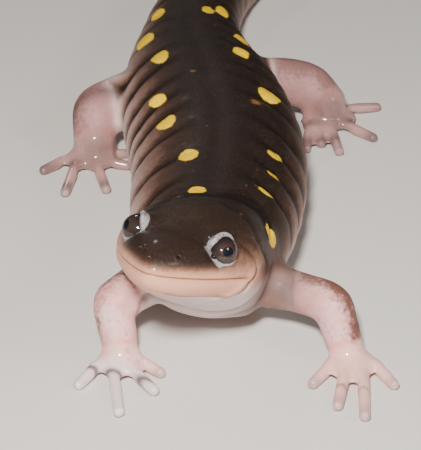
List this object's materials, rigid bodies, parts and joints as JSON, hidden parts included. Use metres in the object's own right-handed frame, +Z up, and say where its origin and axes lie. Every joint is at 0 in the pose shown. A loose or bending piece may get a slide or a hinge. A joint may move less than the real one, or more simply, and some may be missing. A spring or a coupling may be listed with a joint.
{
  "type": "still model of a spotted salamander",
  "caption": "Life-size still model of a dark salamander with yellow spots, standing with raised, turned head on splayed pale legs, its long tail curving to one side.",
  "frame": {"origin": "middle of the animal's box, at floor level, under its lowest points", "axes": "+Z up, +Y towards the animal's rear, so it faces -Y, and +X towards its own left"},
  "size_m": [0.0676, 0.1588, 0.0226],
  "materials": {
    "back_skin": "wet, dark brown to black with yellow spots",
    "jaw_skin": "wet, pale pinkish tan",
    "limb_skin": "wet, pale lilac pink",
    "eye": "wet, dark brown iris and black pupil"
  },
  "bodies": {
    "root": {"head": "back_skin", "lower_jaw": "jaw_skin", "eye_left": "eye", "eye_right": "eye", "neck": "back_skin", "trunk": "back_skin", "tail_base": "back_skin", "tail_middle": "back_skin", "tail_tip": "back_skin", "upper_arm_left": "limb_skin", "forearm_left": "limb_skin", "hand_left": "limb_skin", "upper_arm_right": "limb_skin", "forearm_right": "limb_skin", "hand_right": "limb_skin", "thigh_left": "limb_skin", "shank_left": "limb_skin", "foot_left": "limb_skin", "thigh_right": "limb_skin", "shank_right": "limb_skin", "foot_right": "limb_skin"}
  },
  "joints": []
}
